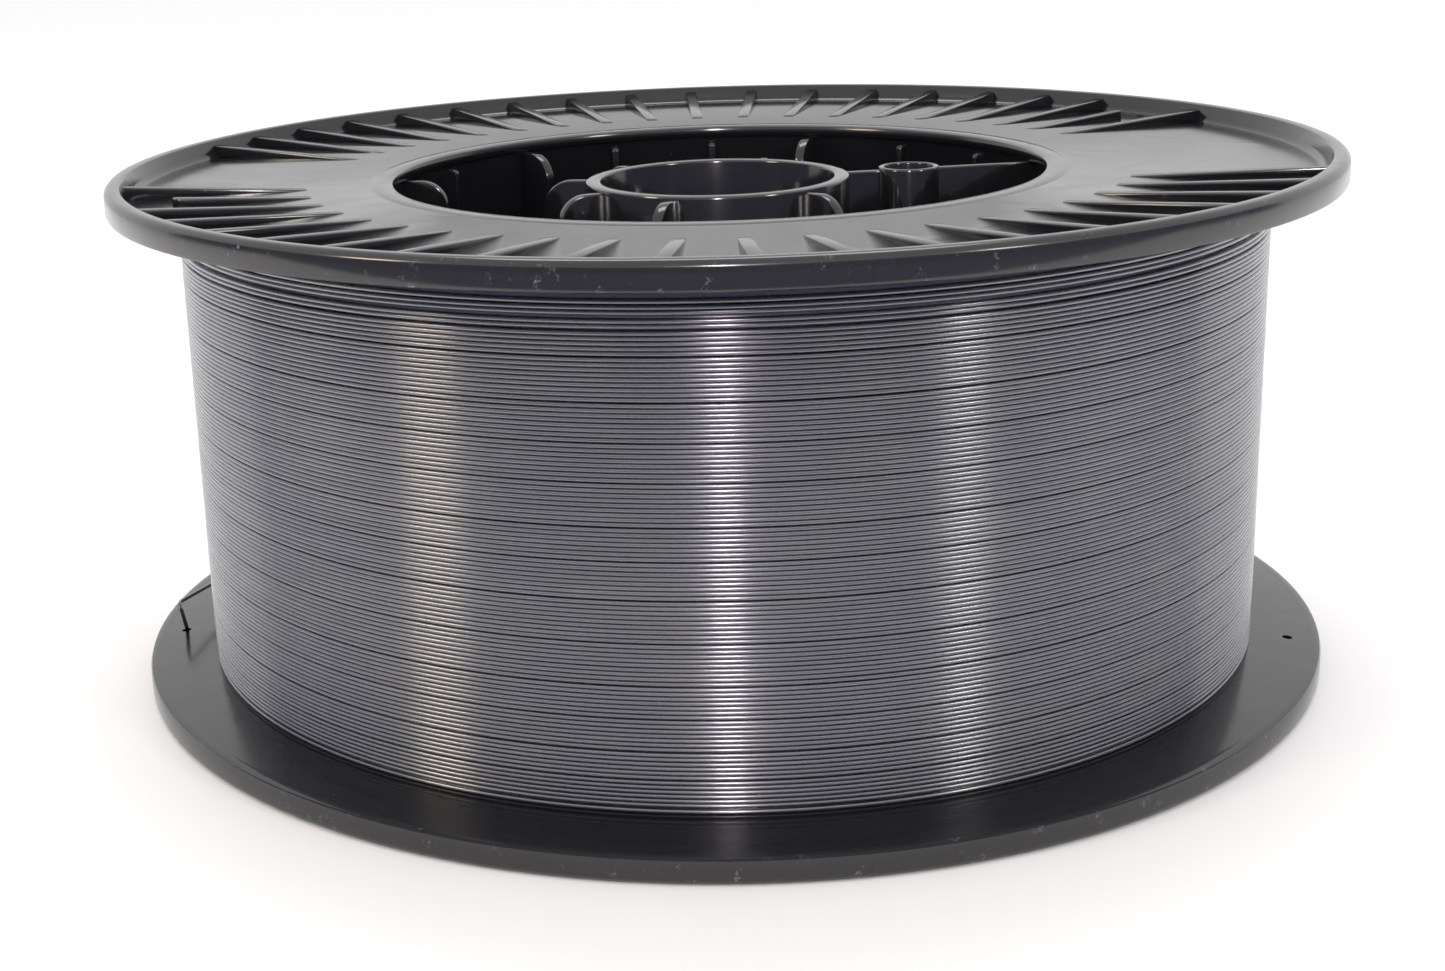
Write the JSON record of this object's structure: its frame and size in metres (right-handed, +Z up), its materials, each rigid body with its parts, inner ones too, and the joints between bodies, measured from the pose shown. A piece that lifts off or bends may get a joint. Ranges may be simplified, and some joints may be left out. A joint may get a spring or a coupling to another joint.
{
  "type": "mig welding wire spool",
  "caption": "Black moulded plastic spool with ribbed flanges, hub bore and drive hole, wound full of bare steel welding wire whose end is bent into a flange hole.",
  "frame": {"origin": "point on the floor under the spool's axis, at the centre of the lower rim's standing face", "axes": "+Z up along the spool's axis; +X in the direction of the drive hole, 10.9 degrees clockwise of it; -Y towards the picture's viewpoint"},
  "size_m": [0.27, 0.27, 0.114],
  "materials": {
    "black_plastic": "satin injection-moulded",
    "steel_wire": "drawn, bare"
  },
  "bodies": {
    "root": {"spool": "black_plastic", "welding_wire": "steel_wire"}
  },
  "joints": []
}
